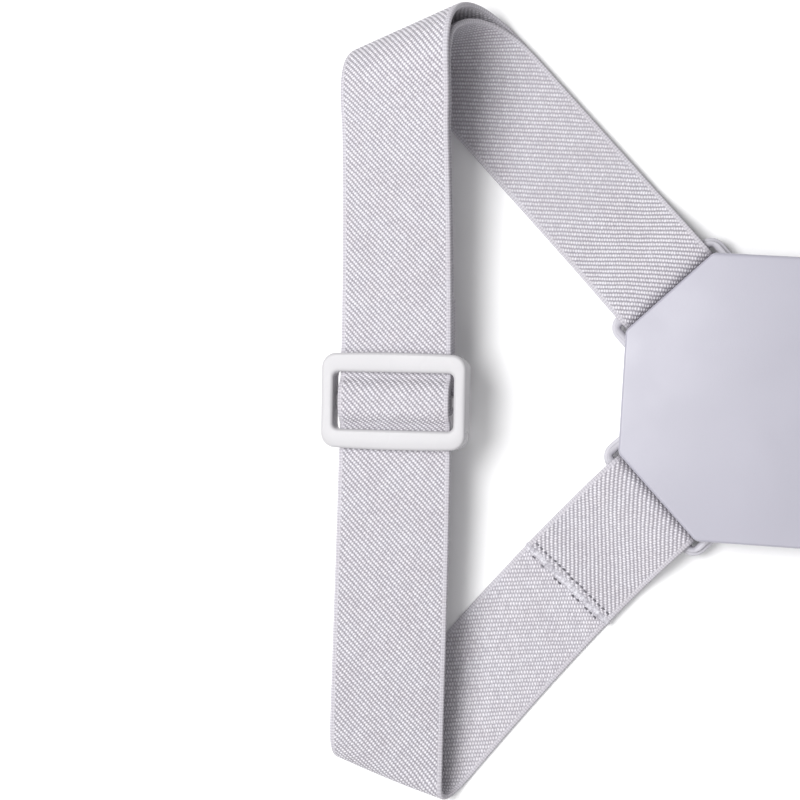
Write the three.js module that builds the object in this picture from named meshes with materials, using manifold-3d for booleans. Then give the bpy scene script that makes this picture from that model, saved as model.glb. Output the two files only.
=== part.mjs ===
// A posture corrector: a flat housing worn between the shoulder blades, with an elastic
// webbing loop for each arm. It lies on its back with the loops spread out flat.
//
// Millimetres, +Z up. The origin is the centre of the housing's back, which rests on z = 0.
// +X runs from the left loop to the right loop, +Y towards the wearer's neck.

import * as THREE from "three";
import Module from "manifold-3d";
import { mergeVertices } from "three/addons/utils/BufferGeometryUtils.js";

const wasm = await Module();
wasm.setup();

// The gap that two neighbouring pieces keep.
const clearance = 0.3;

// The elastic webbing.
const webWidth = 31.5;
const webThickness = 1.5;

// The housing: a tray at the back and a cover at the front, with its four corners cut off.
const housingWidth = 100;
const housingHeight = 78.4;
const cornerCut = 22.4;
const cornerRadius = 2.6;
const shellWall = 2;
const baseDepth = 9;
const coverDepth = 6.7;
const edgeBevel = 0.8;
const lipDepth = 1.6;
const lipWall = 1.2;

// The cut corners face these ways, in degrees anticlockwise from +X, seen from above. The
// left loop hangs between its upper and its lower corner.
const cornerHeadings = [45, 135, 225, 315];
const [, upperCorner, lowerCorner] = cornerHeadings;

// The lugs: an oblong ring behind each cut corner, with a slot for the webbing.
const slotPlay = 0.5;
const slotSide = 1.1;
const barWidth = 2.9;
const barRound = 1.2;
const earWall = 2.7;
const lugThickness = 3.5;
const lugRadius = 4.2;
const ledgeWidth = 0.9;
const ledgeDrop = 0.8;
const lugRoot = 6;
const underLug = 1.2;

// How the left loop lies. Headings are in degrees anticlockwise from +X, seen from above.
const bottomFrontHeading = 90.5;
const topFrontHeading = 93.5;
const lowerHeading = 233.5;
const lowerBearing = 230.6;
const lowerRun = 102.5;
const upperRun = 85.2;
const bottomBendRadius = 5.5;
const topBendRadius = 14;
const topDrift = 2.3;
const innerBendSlack = 0.8;
const innerSetback = 1.8;
const innerDrift = 6.7;
const driftShare = 0.7;

// How far the front of the loop leans to the side where it leaves a bend, in degrees. The
// bends are wider at one side to make it so.
const bottomLean = -8;
const topLean = 17;

// Where the webbing ends: the tail sewn down below the lower lug, and the end sewn up
// behind the slider.
const tailLength = 35;
const sewnLength = 28;
const lugRamp = 20;

// The slider: a frame with a centre bar set lower, between two deeper side rails.
const sliderRise = 94.4;
const sliderHeight = 25.8;
const sliderBarHeight = 5;
const sliderThickness = 2.4;
const sliderRadius = 3.9;
const railWidth = 3.4;
const windowSide = 1.3;
const windowRadius = 1.6;
const sliderBevel = 0.7;
const centreBarHeight = 4;
const centreBarThickness = 2.2;
const railDrop = 0.5;
const weaveFootRadius = 3.5;
const weaveCrestRadius = 5;

// How finely the round shapes are divided.
const webColumns = 5;
const cornerSteps = 3;
const bendSteps = 15;
const arcSteps = 3;
const rampSteps = 4;
const stretchSteps = 5;
const diagonalSteps = 3;
const sewnSteps = 2;
const bevelSteps = 2;
const sliderCornerSteps = 4;

const { clamp, degToRad, lerp, smoothstep } = THREE.MathUtils;
const upward = new THREE.Vector3(0, 0, 1);

// Corners are placed on a grid this fine, so that faces meant to be level are.
const grid = 1e-4;

// How far apart two points are that give a direction.
const nearby = 1e-3;

// How far a cutting body reaches past the face that it cuts.
const cutMargin = 1;

// Sizes that several pieces share.
const layerPitch = webThickness + clearance;
const flatRise = webThickness / 2;
const slotWidth = slotPlay + webThickness + clearance;
const slotLength = webWidth + 2 * slotSide;
const lugReach = slotWidth + barWidth;
const lugLength = slotLength + 2 * earWall;
const lugBottom = underLug + webThickness + clearance;
const lugTop = lugBottom + lugThickness;
const coverBottom = baseDepth + clearance;
const housingDepth = coverBottom + coverDepth;

// Slider levels, measured from the middle of the webbing where it passes under the bars.
const sliderUnder = webThickness / 2 + clearance;
const sliderTop = sliderUnder + sliderThickness;
const frontCrest = sliderTop - webThickness / 2;
const loopCrest = frontCrest - layerPitch;
const centreBarTop = loopCrest - webThickness / 2 - clearance;
const centreBarBottom = centreBarTop - centreBarThickness;
const railBottom = centreBarBottom - railDrop;
const windowHalf = sliderHeight / 2 - sliderBarHeight;
const windowWidth = webWidth + 2 * windowSide;
const sliderWidth = windowWidth + 2 * railWidth;
const sliderEdge = sliderHeight / 2 + clearance;

// Geometry and solids

function closedGeometry(positions, triangles) {
  const geometry = new THREE.BufferGeometry();
  geometry.setAttribute("position", new THREE.Float32BufferAttribute(positions, 3));
  geometry.setIndex(triangles);
  return geometry;
}

function solidFrom(geometry, matrix = new THREE.Matrix4()) {
  const bare = geometry.clone();
  bare.deleteAttribute("normal");
  bare.deleteAttribute("uv");
  bare.applyMatrix4(matrix);
  const merged = mergeVertices(bare, grid);
  const positions = merged.getAttribute("position").array;
  return new wasm.Manifold(new wasm.Mesh({
    numProp: 3,
    vertProperties: Float32Array.from(positions, (value) => Math.round(value / grid) * grid),
    triVerts: new Uint32Array(merged.getIndex().array),
  }));
}

function geometryFrom(solid) {
  const { vertProperties, triVerts } = solid.getMesh();
  return closedGeometry(Array.from(vertProperties), Array.from(triVerts));
}

// A prism of a shape, from one height to another.
function prism(shape, bottom, top) {
  const geometry = new THREE.ExtrudeGeometry(shape, {
    depth: top - bottom,
    bevelEnabled: false,
    curveSegments: cornerSteps,
  });
  return geometry.translate(0, 0, bottom);
}

// A rectangle about the x axis, its right corners rounded, and its left ones too where
// they have a radius.
function roundedRectangle(path, left, right, halfHeight, rightRadius, leftRadius = 0) {
  const quarter = Math.PI / 2;
  const corner = (x, y, radius, start) => {
    if (radius > 0) {
      path.absarc(x, y, radius, start, start + quarter);
    } else {
      path.lineTo(x, y);
    }
  };
  path.moveTo(right - rightRadius, -halfHeight);
  corner(right - rightRadius, rightRadius - halfHeight, rightRadius, -quarter);
  corner(right - rightRadius, halfHeight - rightRadius, rightRadius, 0);
  corner(left + leftRadius, halfHeight - leftRadius, leftRadius, quarter);
  corner(left + leftRadius, leftRadius - halfHeight, leftRadius, 2 * quarter);
  path.closePath();
  return path;
}

// The housing

// The outline of the housing, moved inwards, as a ring of points with rounded corners.
function housingOutline(inset) {
  const round = Math.max(cornerRadius - inset, clearance);
  const depth = inset + round;
  const halfWidth = housingWidth / 2 - depth;
  const halfHeight = housingHeight / 2 - depth;
  const cut = cornerCut - (2 - Math.SQRT2) * depth;
  const corners = [
    [halfWidth, halfHeight - cut],
    [halfWidth - cut, halfHeight],
    [cut - halfWidth, halfHeight],
    [-halfWidth, halfHeight - cut],
    [-halfWidth, cut - halfHeight],
    [cut - halfWidth, -halfHeight],
    [halfWidth - cut, -halfHeight],
    [halfWidth, cut - halfHeight],
  ];
  return corners.flatMap(([x, y], corner) => {
    const points = [];
    for (let step = 0; step <= cornerSteps; step += 1) {
      const angle = (corner + step / cornerSteps) * Math.PI / 4;
      points.push([x + round * Math.cos(angle), y + round * Math.sin(angle)]);
    }
    return points;
  });
}

// A body with the housing's outline: its levels follow one another over the surface, and
// the first and the last are closed. Each level is an inset and a height.
function housingShell(levels) {
  const positions = [];
  const triangles = [];
  const rings = levels.map(([inset, height]) => {
    const first = positions.length / 3;
    const outline = housingOutline(inset);
    outline.forEach(([x, y]) => positions.push(x, y, height));
    return { first, outline };
  });
  const count = rings[0].outline.length;
  for (let level = 1; level < rings.length; level += 1) {
    for (let side = 0; side < count; side += 1) {
      const next = (side + 1) % count;
      const a = rings[level - 1].first + side;
      const b = rings[level - 1].first + next;
      const c = rings[level].first + next;
      const d = rings[level].first + side;
      triangles.push(a, b, c, a, c, d);
    }
  }
  const cap = ({ first, outline }, facingUp) => {
    const contour = outline.map(([x, y]) => new THREE.Vector2(x, y));
    THREE.ShapeUtils.triangulateShape(contour, []).forEach(([a, b, c]) => {
      const [second, third] = facingUp ? [b, c] : [c, b];
      triangles.push(first + a, first + second, first + third);
    });
  };
  cap(rings[0], false);
  cap(rings[rings.length - 1], true);
  return closedGeometry(positions, triangles);
}

// The matrix of a lug: x outwards from the middle of a cut corner, y along it.
function lugMatrix(heading) {
  const half = (housingWidth + housingHeight) / 4 - cornerCut / 2;
  const lean = (housingWidth - housingHeight) / 4;
  const sideX = Math.sign(Math.cos(heading));
  const sideY = Math.sign(Math.sin(heading));
  const matrix = new THREE.Matrix4().makeRotationZ(heading);
  return matrix.setPosition(sideX * (half + lean), sideY * (half - lean), 0);
}

function lugSolid(matrix) {
  const halfLength = lugLength / 2;
  const tier = (inset, bottom, top) => {
    const shape = new THREE.Shape();
    const corner = lugRadius - inset;
    const reach = lugReach - inset;
    roundedRectangle(shape, -lugRoot, reach, halfLength - inset, corner);
    return solidFrom(prism(shape, bottom, top));
  };
  const ledge = lugTop - ledgeDrop;
  const plate = tier(0, lugBottom, ledge).add(tier(ledgeWidth, ledge - ledgeDrop, lugTop));
  const hole = new THREE.Shape();
  const cutTo = slotWidth + barRound;
  roundedRectangle(hole, -shellWall / 2, cutTo, slotLength / 2, 0);
  const slot = solidFrom(prism(hole, lugBottom - cutMargin, lugTop + cutMargin));
  return plate.subtract(slot).add(barNose()).transform(matrix.elements);
}

// The side of a lug's bar that the webbing turns round: a strip with a rounded edge.
function barNose() {
  const nose = new THREE.Shape();
  const overlap = clearance;
  const inner = slotWidth + barRound;
  nose.moveTo(inner + overlap, lugTop);
  nose.absarc(inner, lugTop - barRound, barRound, Math.PI / 2, Math.PI);
  nose.absarc(inner, lugBottom + barRound, barRound, Math.PI, 1.5 * Math.PI);
  nose.lineTo(inner + overlap, lugBottom);
  nose.closePath();
  const half = slotLength / 2 + overlap;
  const upright = new THREE.Matrix4().makeBasis(
    new THREE.Vector3(1, 0, 0),
    new THREE.Vector3(0, 0, 1),
    new THREE.Vector3(0, -1, 0),
  );
  return solidFrom(prism(nose, -half, half), upright);
}

function baseGeometry() {
  const block = solidFrom(housingShell([
    [edgeBevel, 0],
    [0, edgeBevel],
    [0, baseDepth],
  ]));
  const hollow = solidFrom(housingShell([
    [shellWall, shellWall],
    [shellWall, baseDepth + cutMargin],
  ]));
  const lugs = cornerHeadings.map((angle) => lugSolid(lugMatrix(degToRad(angle))));
  return geometryFrom(lugs.reduce((whole, lug) => whole.add(lug), block).subtract(hollow));
}

function coverGeometry() {
  const lipInset = shellWall + clearance;
  const plateInset = lipInset + lipWall;
  return housingShell([
    [plateInset, housingDepth - shellWall],
    [plateInset, baseDepth - lipDepth],
    [lipInset, baseDepth - lipDepth],
    [lipInset, coverBottom],
    [0, coverBottom],
    [0, housingDepth - edgeBevel],
    [edgeBevel, housingDepth],
  ]);
}

// The webbing
//
// It is made of rows across its width. A row is a list of points in the middle of its
// thickness, each with the direction that the webbing's good face looks in.

function frameFrom(point, along, up) {
  const across = new THREE.Vector3().crossVectors(up, along).normalize();
  return { point, along, across, up };
}

function offset(frame, along, across, up) {
  return frame.point.clone()
    .addScaledVector(frame.along, along)
    .addScaledVector(frame.across, across)
    .addScaledVector(frame.up, up);
}

// A smooth line from one frame to another. A distance along it gives a frame.
function spineBetween(start, end) {
  const third = start.point.distanceTo(end.point) / 3;
  const curve = new THREE.CubicBezierCurve3(
    start.point,
    offset(start, third, 0, 0),
    offset(end, -third, 0, 0),
    end.point,
  );
  const length = curve.getLength();
  const at = (distance) => {
    const share = distance / length;
    const along = curve.getTangent(share);
    const up = start.up.clone().lerp(end.up, share);
    up.addScaledVector(along, -up.dot(along)).normalize();
    return frameFrom(curve.getPoint(share), along, up);
  };
  return { at, length };
}

// A straight line through a frame.
function lineThrough(frame) {
  return { at: (distance) => ({ ...frame, point: offset(frame, distance, 0, 0) }) };
}

// Rows along a spine. A profile is a list of steps, each with its run along the spine, its
// rise above it, its pitch, the direction of travel, and a shift to the side. The face is
// 1 where the good face is on the left of the travel and -1 where it is on the right.
function rowsAlong(spine, profile, face) {
  return profile.map(({ run, rise, pitch, shift = 0 }) => {
    const frame = spine.at(run);
    const normal = frame.up.clone().multiplyScalar(Math.cos(pitch) * face)
      .addScaledVector(frame.along, -Math.sin(pitch) * face);
    const row = [];
    for (let column = 0; column < webColumns; column += 1) {
      const across = face * webWidth * (column / (webColumns - 1) - 0.5);
      row.push({ point: offset(frame, 0, across + shift, rise), normal });
    }
    return row;
  });
}

// Rows over a round bend whose axis lies askew to the webbing, so that it comes back with
// another heading. It starts at a frame, curls towards that frame's up, and turns by an
// angle. The skew is the angle from the webbing to the axis. The flare is how much taller
// the radius grows for each millimetre along the axis, and the drift is how far the webbing
// slides along it in the first part of the turn.
function bend(start, { skew, radius, turn, flare, drift = 0 }, face) {
  const cosSkew = Math.cos(skew);
  const sinSkew = Math.abs(Math.sin(skew));
  const hand = Math.sign(skew);
  const axis = start.along.clone().multiplyScalar(cosSkew)
    .addScaledVector(start.across, hand * sinSkew);
  const ahead = start.along.clone().multiplyScalar(sinSkew)
    .addScaledVector(start.across, -hand * cosSkew);
  const beyond = ahead.clone().multiplyScalar(Math.cos(turn))
    .addScaledVector(start.up, Math.sin(turn));
  const crest = radius * turn / 2 * cosSkew / sinSkew;
  const place = (run, across) => {
    const alongAxis = run * cosSkew + across * hand * sinSkew;
    const forward = run * sinSkew - across * hand * cosSkew;
    const angle = clamp(forward / radius, 0, turn);
    const slid = alongAxis + drift * smoothstep(angle, 0, driftShare * turn);
    const local = radius + flare * (slid - crest);
    return start.point.clone()
      .addScaledVector(axis, slid)
      .addScaledVector(ahead, Math.min(forward, 0) + radius * Math.sin(angle))
      .addScaledVector(start.up, local * (1 - Math.cos(angle)))
      .addScaledVector(beyond, Math.max(forward - radius * turn, 0));
  };
  const frameAt = (run, across) => {
    const point = place(run, across);
    const along = place(run + nearby, across).sub(place(run - nearby, across)).normalize();
    const aside = place(run, across + nearby).sub(place(run, across - nearby));
    const up = new THREE.Vector3().crossVectors(along, aside).normalize();
    return frameFrom(point, along, up);
  };
  const margin = webWidth / 2 * cosSkew / sinSkew;
  const length = radius * turn / sinSkew + 2 * margin;
  const rows = [];
  for (let part = 0; part <= bendSteps; part += 1) {
    const run = length * part / bendSteps - margin;
    const row = [];
    for (let column = 0; column < webColumns; column += 1) {
      const across = face * webWidth * (column / (webColumns - 1) - 0.5);
      const { point, up } = frameAt(run, across);
      row.push({ point, normal: up.multiplyScalar(face) });
    }
    rows.push(row);
  }
  return { rows, entry: frameAt(-margin, 0), exit: frameAt(length - margin, 0) };
}

function turnedBack(rows) {
  return rows.map((row) => row.slice().reverse()).reverse();
}

// Profile steps

function step(run, rise, pitch = 0) {
  return { run, rise, pitch };
}

// An arc about a centre. Each step travels square to the radius, anticlockwise where the
// turn is positive.
function arc(run, rise, radius, pitch, turn, steps = arcSteps) {
  const side = Math.sign(turn);
  const profile = [];
  for (let part = 0; part <= steps; part += 1) {
    const travel = pitch + turn * part / steps;
    const across = radius * side;
    profile.push(step(run + across * Math.sin(travel), rise - across * Math.cos(travel), travel));
  }
  return profile;
}

// A smooth change of height between two runs, travelled from the first to the second.
function ramp(fromRun, fromRise, toRun, toRise, steps = rampSteps) {
  const profile = [];
  const base = toRun < fromRun ? Math.PI : 0;
  for (let part = 0; part <= steps; part += 1) {
    const share = part / steps;
    const slope = 6 * share * (1 - share) * (toRise - fromRise) / (toRun - fromRun);
    const run = lerp(fromRun, toRun, share);
    const rise = lerp(fromRise, toRise, smoothstep(share, 0, 1));
    profile.push(step(run, rise, base + Math.atan(slope)));
  }
  return profile;
}

function straight(fromRun, toRun, rise, pitch, steps) {
  const profile = [];
  for (let part = 0; part <= steps; part += 1) {
    profile.push(step(lerp(fromRun, toRun, part / steps), rise, pitch));
  }
  return profile;
}

// Round a lug's bar, from above the bar to below it.
function roundBar() {
  const radius = barRound + clearance + webThickness / 2;
  const run = slotWidth + barRound;
  const half = Math.PI / 2;
  return [
    ...arc(run, lugTop - barRound, radius, Math.PI, half),
    ...arc(run, lugBottom + barRound, radius, Math.PI + half, half),
  ];
}

// The same steps travelled the other way.
function backwards(profile) {
  return profile.map(({ run, rise, pitch, shift }) => (
    { run, rise, pitch: pitch + Math.PI, shift }
  )).reverse();
}

// The weave of the front layer through the slider: under the lower bar, up over the centre
// bar and down under the upper bar, about the slider's middle.
function weave() {
  const reach = weaveFootRadius + weaveCrestRadius;
  const angle = Math.acos(1 - frontCrest / reach);
  const foot = windowHalf - clearance;
  const crest = foot - reach * Math.sin(angle);
  const below = frontCrest - weaveCrestRadius;
  const climb = [
    ...arc(-foot, weaveFootRadius, weaveFootRadius, 0, angle),
    ...arc(-crest, below, weaveCrestRadius, angle, -angle).slice(1),
  ];
  const descent = climb.map(({ run, rise, pitch }) => step(-run, rise, -pitch)).reverse();
  return { climb, descent };
}

// The loop

const layersOverBar = lugTop + clearance + webThickness / 2;
const layersUnderBar = lugBottom - clearance - webThickness / 2;
const rampEnd = lugReach + lugRamp;

function lugFrame(heading) {
  const origin = new THREE.Vector3().applyMatrix4(lugMatrix(heading));
  const outwards = new THREE.Vector3(Math.cos(heading), Math.sin(heading), 0);
  return frameFrom(origin, outwards, upward.clone());
}

function headingFrame(point, degrees) {
  const angle = degToRad(degrees);
  return frameFrom(point, new THREE.Vector3(Math.cos(angle), Math.sin(angle), 0), upward.clone());
}

// The skew of a bend that turns one heading into another, in degrees.
function skewBetween(before, after) {
  return degToRad((after - before) / 2);
}

// The flare of a bend whose far side is to lean by an angle in degrees.
function flareFor(lean) {
  return Math.tan(degToRad(lean)) / 2;
}

// Where everything of the left loop lies.
function layLoop() {
  const lower = lugFrame(degToRad(lowerCorner));
  const upper = lugFrame(degToRad(upperCorner));
  const bearing = headingFrame(lower.point, lowerBearing);
  const bottomStart = headingFrame(offset(bearing, lowerRun, 0, flatRise), lowerHeading);
  const topStart = headingFrame(offset(upper, upperRun, 0, flatRise), upperCorner);
  const climb = 2 * (topBendRadius - bottomBendRadius);
  const slope = Math.atan(climb / bottomStart.point.distanceTo(topStart.point));
  const bottomBend = {
    skew: skewBetween(lowerHeading, bottomFrontHeading),
    radius: bottomBendRadius,
    turn: Math.PI - slope,
    flare: flareFor(-bottomLean),
  };
  const topBend = {
    skew: skewBetween(upperCorner, topFrontHeading + 180),
    radius: topBendRadius,
    turn: Math.PI + slope,
    flare: flareFor(-topLean),
    drift: topDrift,
  };
  const bottom = bend(bottomStart, bottomBend, -1);
  const top = bend(topStart, topBend, -1);
  const innerPoint = offset(topStart, -innerSetback, 0, layerPitch);
  const innerStart = headingFrame(innerPoint, upperCorner);
  const innerRadius = topBendRadius - layerPitch - innerBendSlack;
  const inner = bend(innerStart, { ...topBend, radius: innerRadius, drift: innerDrift }, 1);
  const turnedOver = ({ point, along, up }, way) => (
    frameFrom(point, along.clone().multiplyScalar(way), up.clone().negate())
  );
  const front = spineBetween(turnedOver(bottom.exit, 1), turnedOver(top.exit, -1));
  const onTable = ({ point, along }) => (
    frameFrom(new THREE.Vector3(point.x, point.y, 0), along, upward.clone())
  );
  return {
    bottom,
    top,
    inner,
    front,
    lowerSpine: spineBetween(lower, onTable(bottom.entry)),
    upperSpine: spineBetween(upper, onTable(top.entry)),
    slider: front.at(sliderRise),
  };
}

function lowerProfile(spine) {
  const raised = flatRise + layerPitch;
  return [
    step(tailLength, raised, Math.PI),
    ...ramp(rampEnd, raised, lugReach, layersOverBar),
    ...roundBar(),
    ...ramp(lugReach, layersUnderBar, rampEnd, flatRise),
    ...straight(rampEnd, spine.length, flatRise, 0, diagonalSteps).slice(1, -1),
  ];
}

function upperProfile(spine, innerEnd) {
  const raised = flatRise + layerPitch;
  return [
    ...straight(spine.length, rampEnd, flatRise, Math.PI, diagonalSteps).slice(1, -1),
    ...ramp(rampEnd, flatRise, lugReach, layersUnderBar),
    ...backwards(roundBar()),
    ...ramp(lugReach, layersOverBar, rampEnd, raised),
    ...straight(rampEnd, innerEnd, raised, 0, diagonalSteps).slice(1, -1),
  ];
}

// The stretch above the slider where the webbing is sewn to itself. Every layer has its
// rows in the same places there.
function overSewn(rise, pitch) {
  const from = sliderRise + sliderEdge;
  return straight(from, sliderRise + sewnLength, rise, pitch, sewnSteps).slice(1);
}

function frontRows({ front, slider }) {
  const { climb, descent } = weave();
  const woven = [step(-sliderEdge, 0), ...climb, ...descent, step(sliderEdge, 0)];
  const stretch = (from, to) => straight(from, to, 0, 0, stretchSteps).slice(1, -1);
  return [
    ...rowsAlong(front, stretch(0, sliderRise - sliderEdge), 1),
    ...rowsAlong(lineThrough(slider), woven, 1),
    ...rowsAlong(front, overSewn(0, 0), 1),
    ...rowsAlong(front, stretch(sliderRise + sewnLength, front.length), 1),
  ];
}

// The layer behind the front one: from the inner bend down to the slider, over its centre
// bar, round it and back up to where it is sewn to itself.
function loopRows({ front, slider, inner }) {
  const end = front.at(front.length);
  const away = inner.exit.point.clone().sub(end.point);
  const startRun = front.length + away.dot(end.along);
  const startShift = away.dot(end.across);
  const settle = sliderRise + sewnLength;
  const approach = ramp(startRun, away.dot(end.up), settle, -layerPitch, bendSteps).slice(1);
  const shifted = approach.map((at) => ({
    ...at,
    shift: startShift * smoothstep(at.run, settle, startRun),
  }));
  const under = weave().descent.map(({ run, rise, pitch }) => step(
    run - layerPitch * Math.sin(-pitch),
    rise - layerPitch * Math.cos(pitch),
    pitch,
  ));
  const turnRun = (centreBarThickness - centreBarHeight) / 2;
  const turnRise = (centreBarTop + centreBarBottom) / 2;
  const turnRadius = centreBarThickness / 2 + clearance + webThickness / 2;
  const lowest = -2 * layerPitch;
  const woven = [
    step(sliderEdge, -layerPitch, Math.PI),
    ...backwards(under),
    ...arc(turnRun, turnRise, turnRadius, Math.PI, Math.PI, 2 * arcSteps),
    ...ramp(turnRun, turnRise - turnRadius, windowHalf, lowest, sewnSteps).slice(1),
    step(sliderEdge, lowest),
  ];
  return [
    ...rowsAlong(front, shifted.slice(0, -1), 1),
    ...rowsAlong(front, overSewn(-layerPitch, Math.PI).reverse(), 1),
    ...rowsAlong(lineThrough(slider), woven, 1),
    ...rowsAlong(front, overSewn(lowest, 0), 1),
  ];
}

function strapGeometry(loop) {
  const { bottom, top, inner, lowerSpine, upperSpine } = loop;
  const innerEntry = inner.entry.point.clone().sub(lugFrame(degToRad(upperCorner)).point);
  const innerEnd = Math.hypot(innerEntry.x, innerEntry.y);
  return webGeometry([
    ...rowsAlong(lowerSpine, lowerProfile(lowerSpine), -1),
    ...bottom.rows,
    ...frontRows(loop),
    ...turnedBack(top.rows),
    ...rowsAlong(upperSpine, upperProfile(upperSpine, innerEnd), 1),
    ...inner.rows,
    ...loopRows(loop),
  ]);
}

// A closed body over the rows: the good face, the back face, both edges and both ends.
function webGeometry(rows) {
  const positions = [];
  const triangles = [];
  rows.forEach((row) => {
    [1, -1].forEach((side) => {
      row.forEach(({ point, normal }) => {
        const at = point.clone().addScaledVector(normal, side * webThickness / 2);
        positions.push(at.x, at.y, at.z);
      });
    });
  });
  const ring = 2 * webColumns;
  const order = [];
  for (let column = 0; column < webColumns; column += 1) {
    order.push(column);
  }
  for (let column = webColumns - 1; column >= 0; column -= 1) {
    order.push(webColumns + column);
  }
  for (let row = 1; row < rows.length; row += 1) {
    for (let place = 0; place < ring; place += 1) {
      const a = (row - 1) * ring + order[place];
      const b = (row - 1) * ring + order[(place + 1) % ring];
      const c = row * ring + order[(place + 1) % ring];
      const d = row * ring + order[place];
      triangles.push(a, c, b, a, d, c);
    }
  }
  const end = (first, forwards) => {
    for (let column = 1; column < webColumns; column += 1) {
      const a = first + column - 1;
      const b = first + column;
      const c = first + webColumns + column;
      const d = first + webColumns + column - 1;
      triangles.push(...(forwards ? [a, c, b, a, d, c] : [a, b, c, a, c, d]));
    }
  };
  end(0, false);
  end((rows.length - 1) * ring, true);
  return closedGeometry(positions, triangles);
}

// The slider

function sliderSolid() {
  const outline = new THREE.Shape();
  const radius = sliderRadius - sliderBevel;
  const halfWidth = sliderWidth / 2 - sliderBevel;
  roundedRectangle(outline, -halfWidth, halfWidth, sliderHeight / 2 - sliderBevel, radius, radius);
  const hole = new THREE.Path();
  const holeHalf = windowWidth / 2 + sliderBevel;
  const holeRadius = windowRadius + sliderBevel;
  roundedRectangle(hole, -holeHalf, holeHalf, windowHalf + sliderBevel, holeRadius, holeRadius);
  outline.holes.push(hole);
  const ring = new THREE.ExtrudeGeometry(outline, {
    depth: sliderTop - railBottom - 2 * sliderBevel,
    bevelThickness: sliderBevel,
    bevelSize: sliderBevel,
    bevelSegments: bevelSteps,
    curveSegments: sliderCornerSteps,
  });
  ring.translate(0, 0, railBottom + sliderBevel);
  const underBar = sliderUnder - railBottom + clearance;
  const cutHeight = sliderHeight / 2;
  const cut = new THREE.BoxGeometry(sliderWidth + cutMargin, cutHeight, underBar);
  const cutMiddle = windowHalf - windowRadius + cutHeight / 2;
  return [-1, 1].reduce((solid, side) => {
    const placed = cut.clone().translate(0, side * cutMiddle, sliderUnder - underBar / 2);
    return solid.subtract(solidFrom(placed));
  }, solidFrom(ring)).add(centreBar());
}

function centreBar() {
  const section = new THREE.Shape();
  const round = centreBarThickness / 2;
  const half = centreBarHeight / 2 - round;
  section.absarc(half, 0, round, -Math.PI / 2, Math.PI / 2);
  section.absarc(-half, 0, round, Math.PI / 2, 1.5 * Math.PI);
  section.closePath();
  const reach = windowWidth / 2 + railWidth / 2;
  const along = new THREE.Matrix4().makeBasis(
    new THREE.Vector3(0, 1, 0),
    new THREE.Vector3(0, 0, 1),
    new THREE.Vector3(1, 0, 0),
  );
  along.setPosition(0, 0, (centreBarTop + centreBarBottom) / 2);
  return solidFrom(prism(section, -reach, reach), along);
}

// The assembly

const webbing = { color: 0xcdcbd4, roughness: 0.9, metalness: 0 };
const housingPlastic = { color: 0xd0cfda, roughness: 0.45, metalness: 0 };
const sliderPlastic = { color: 0xf0f0f6, roughness: 0.25, metalness: 0 };

function piece(name, geometry, finish) {
  const mesh = new THREE.Mesh(geometry, new THREE.MeshStandardMaterial(finish));
  mesh.name = name;
  return mesh;
}

function armLoop(side) {
  const loop = layLoop();
  const { along, across, up } = loop.slider;
  const slider = piece(`slider_${side}`, geometryFrom(sliderSolid()), sliderPlastic);
  slider.position.copy(loop.slider.point);
  slider.quaternion.setFromRotationMatrix(
    new THREE.Matrix4().makeBasis(across.clone().negate(), along, up),
  );
  const group = new THREE.Group();
  group.add(piece(`strap_${side}`, strapGeometry(loop), webbing), slider);
  return group;
}

const corrector = new THREE.Group();
corrector.add(piece("housing_base", baseGeometry(), housingPlastic));
corrector.add(piece("housing_cover", coverGeometry(), housingPlastic));
corrector.add(armLoop("left"));
const rightLoop = armLoop("right");
rightLoop.scale.x = -1;
corrector.add(rightLoop);

export default corrector;
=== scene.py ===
# Looks of a posture corrector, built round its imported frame.
#
# Sizes are in millimetres and angles in degrees until a mesh is made, which is in metres.

import math
from collections import namedtuple

import bpy
import numpy as np
from mathutils import Matrix, Vector


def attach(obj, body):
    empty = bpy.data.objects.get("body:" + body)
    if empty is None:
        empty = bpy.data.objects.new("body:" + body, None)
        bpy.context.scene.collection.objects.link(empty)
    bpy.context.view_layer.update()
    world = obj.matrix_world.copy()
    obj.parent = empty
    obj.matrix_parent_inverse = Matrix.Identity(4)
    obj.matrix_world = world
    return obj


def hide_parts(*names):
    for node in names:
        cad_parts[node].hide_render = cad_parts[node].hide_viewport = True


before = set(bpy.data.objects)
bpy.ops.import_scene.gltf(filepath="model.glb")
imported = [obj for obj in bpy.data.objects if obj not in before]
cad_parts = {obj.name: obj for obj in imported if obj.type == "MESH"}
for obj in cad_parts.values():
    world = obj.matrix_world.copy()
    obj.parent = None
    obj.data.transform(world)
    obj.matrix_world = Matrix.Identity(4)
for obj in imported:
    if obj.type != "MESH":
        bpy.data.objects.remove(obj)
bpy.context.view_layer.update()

MM = 0.001
SEED = 7

# The gap between neighbouring pieces, and the webbing.
CLEARANCE = 0.3
WEB_WIDTH = 31.5
WEB_THICKNESS = 1.5

# The housing.
HOUSING_WIDTH = 100.0
HOUSING_HEIGHT = 78.4
CORNER_CUT = 22.4
CORNER_RADIUS = 2.6
SHELL_WALL = 2.0
BASE_DEPTH = 9.0
COVER_DEPTH = 6.7
EDGE_BEVEL = 0.8
LIP_DEPTH = 1.6
LIP_WALL = 1.2
CORNER_HEADINGS = (45.0, 135.0, 225.0, 315.0)
UPPER_CORNER, LOWER_CORNER = CORNER_HEADINGS[1:3]

# The lugs.
SLOT_PLAY = 0.5
SLOT_SIDE = 1.1
BAR_WIDTH = 2.9
BAR_ROUND = 1.2
EAR_WALL = 2.7
LUG_THICKNESS = 3.5
LUG_RADIUS = 4.2
LEDGE_WIDTH = 0.9
LEDGE_DROP = 0.8
LUG_ROOT = 4.5
UNDER_LUG = 1.2

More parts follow.
